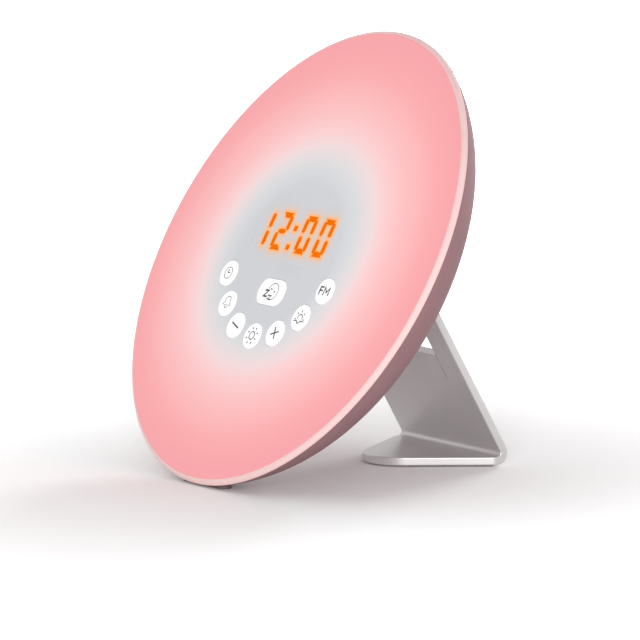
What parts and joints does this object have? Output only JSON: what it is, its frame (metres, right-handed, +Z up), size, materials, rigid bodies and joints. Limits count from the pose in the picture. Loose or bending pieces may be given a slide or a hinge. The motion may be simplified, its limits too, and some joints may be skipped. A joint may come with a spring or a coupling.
{
  "type": "sunrise alarm clock",
  "caption": "Round domed bedside light with a glowing milky face, lit digits, an arc of round touch keys and a snooze key, leaning back on a bent-plate stand with a tongue foot.",
  "frame": {"origin": "on the surface it stands on, under the middle of the whole object", "axes": "+Z up, the face looks along -Y and leans back, +X to the right as the user sees it"},
  "size_m": [0.188, 0.1186, 0.1645],
  "materials": {
    "milky_plastic": "milky, evenly translucent, satin",
    "ring_plastic": "satin, warm pale grey",
    "housing_plastic": "satin, warm grey",
    "key_plastic": "smooth white with thin grey line signs",
    "white_plastic": "white, reflecting",
    "black_plastic": "moulded",
    "segment_plastic": "lit orange",
    "led_plastic": "clear cap over phosphor",
    "circuit_board": "green solder mask",
    "screw_steel": "plated",
    "cell_steel": "nickel plated",
    "contact_brass": "bright",
    "spring_steel": "bright",
    "speaker_steel": "black",
    "speaker_paper": "pressed fibre",
    "foam_rubber": "foam sheet",
    "soft_rubber": "matte",
    "lead_plastic": "insulated conductors",
    "stand_metal": "satin, fine bead-blasted"
  },
  "bodies": {
    "lamp": {"front_diffuser": "milky_plastic", "trim_ring": "ring_plastic", "rear_housing": "housing_plastic", "socket_cover": "housing_plastic", "light_baffle": "white_plastic", "reflector_dish": "white_plastic", "key_switches": "black_plastic", "display_module": "black_plastic", "display_gasket": "foam_rubber", "display_segments": "segment_plastic", "key_board": "circuit_board", "key_board_screws": "screw_steel", "led_board": "circuit_board", "led_packages": "led_plastic", "led_board_screws": "screw_steel", "chassis_screws": "screw_steel", "rubber_feet": "soft_rubber", "main_board": "circuit_board", "board_screws": "screw_steel", "board_components": "black_plastic", "dc_jack": "black_plastic", "antenna_grommet": "soft_rubber", "cell_holder": "black_plastic", "backup_cell": "cell_steel", "cell_contacts": "contact_brass", "speaker_gasket": "foam_rubber", "speaker_frame": "speaker_steel", "speaker_magnet": "speaker_steel", "speaker_screws": "screw_steel", "ribbon_connectors": "white_plastic", "key_ribbon": "lead_plastic", "led_lead": "lead_plastic", "speaker_lead": "lead_plastic", "socket_spring": "spring_steel", "socket_screws": "screw_steel"},
    "stand": {"stand_bracket": "stand_metal", "stand_pad": "soft_rubber"},
    "battery_cap": {"battery_cap": "housing_plastic"},
    "reset_button": {"reset_button": "housing_plastic"},
    "cone": {"speaker_cone": "speaker_paper", "speaker_surround": "foam_rubber"},
    "clock_key": {"clock_key": "key_plastic"},
    "alarm_key": {"alarm_key": "key_plastic"},
    "minus_key": {"minus_key": "key_plastic"},
    "brightness_key": {"brightness_key": "key_plastic"},
    "plus_key": {"plus_key": "key_plastic"},
    "sunrise_key": {"sunrise_key": "key_plastic"},
    "radio_key": {"radio_key": "key_plastic"},
    "snooze_key": {"snooze_key": "key_plastic"}
  },
  "joints": [
    {"name": "clock_press", "type": "slide", "parent": "lamp", "child": "clock_key", "axis": [0, 0.8686, -0.4955], "range_m": [0, 0.0006], "stiffness_N_per_m": 400},
    {"name": "alarm_press", "type": "slide", "parent": "lamp", "child": "alarm_key", "axis": [0, 0.8686, -0.4955], "range_m": [0, 0.0006], "stiffness_N_per_m": 400},
    {"name": "minus_press", "type": "slide", "parent": "lamp", "child": "minus_key", "axis": [0, 0.8686, -0.4955], "range_m": [0, 0.0006], "stiffness_N_per_m": 400},
    {"name": "brightness_press", "type": "slide", "parent": "lamp", "child": "brightness_key", "axis": [0, 0.8686, -0.4955], "range_m": [0, 0.0006], "stiffness_N_per_m": 400},
    {"name": "plus_press", "type": "slide", "parent": "lamp", "child": "plus_key", "axis": [0, 0.8686, -0.4955], "range_m": [0, 0.0006], "stiffness_N_per_m": 400},
    {"name": "sunrise_press", "type": "slide", "parent": "lamp", "child": "sunrise_key", "axis": [0, 0.8686, -0.4955], "range_m": [0, 0.0006], "stiffness_N_per_m": 400},
    {"name": "radio_press", "type": "slide", "parent": "lamp", "child": "radio_key", "axis": [0, 0.8686, -0.4955], "range_m": [0, 0.0006], "stiffness_N_per_m": 400},
    {"name": "snooze_press", "type": "slide", "parent": "lamp", "child": "snooze_key", "axis": [0, 0.8686, -0.4955], "range_m": [0, 0.0006], "stiffness_N_per_m": 400},
    {"name": "reset_press", "type": "slide", "parent": "lamp", "child": "reset_button", "axis": [0, -0.8686, 0.4955], "range_m": [0, 0.0005], "stiffness_N_per_m": 300},
    {"name": "battery_cap_turn", "type": "hinge", "parent": "lamp", "child": "battery_cap", "pos_m": [0.033, 0.00638, 0.06071], "axis": [0, -0.8686, 0.4955], "range_deg": [0, 60]},
    {"name": "stand_slide", "type": "slide", "parent": "lamp", "child": "stand", "axis": [0, -0.4955, -0.8686], "range_m": [0, 0.022]},
    {"name": "cone_stroke", "type": "slide", "parent": "lamp", "child": "cone", "axis": [0, -0.8686, 0.4955], "range_m": [-0.0005, 0.0005], "stiffness_N_per_m": 1000}
  ]
}
